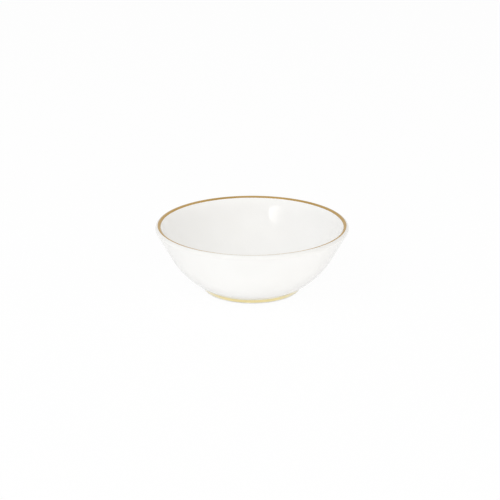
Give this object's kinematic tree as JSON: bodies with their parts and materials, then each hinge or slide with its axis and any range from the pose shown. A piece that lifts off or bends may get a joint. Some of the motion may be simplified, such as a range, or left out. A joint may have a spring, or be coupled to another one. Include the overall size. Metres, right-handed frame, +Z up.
{
  "type": "serving bowl",
  "caption": "Round footed porcelain bowl with a sloping flank, full-round lip, glazed inside and out, with a plain gold line on the lip and on the foot ring; holds a serving of food.",
  "frame": {"origin": "centre of the standing face of the foot ring, on the surface that the bowl stands on", "axes": "+Z up along the axis that the bowl is turned about; the bowl is round, so +X and +Y are any two level directions"},
  "size_m": [0.16, 0.16, 0.0551],
  "materials": {
    "clay": "bare fired porcelain, polished matt on the standing face",
    "glaze": "clear gloss glaze over white porcelain",
    "rim_gold": "fired gold, satin, brown-gold",
    "foot_gold": "fired gold, satin, pale yellow gold"
  },
  "bodies": {
    "root": {"porcelain_body": "clay", "bowl_glaze": "glaze", "foot_hollow_glaze": "glaze", "rim_gold_band": "rim_gold", "foot_gold_band": "foot_gold"}
  },
  "joints": []
}
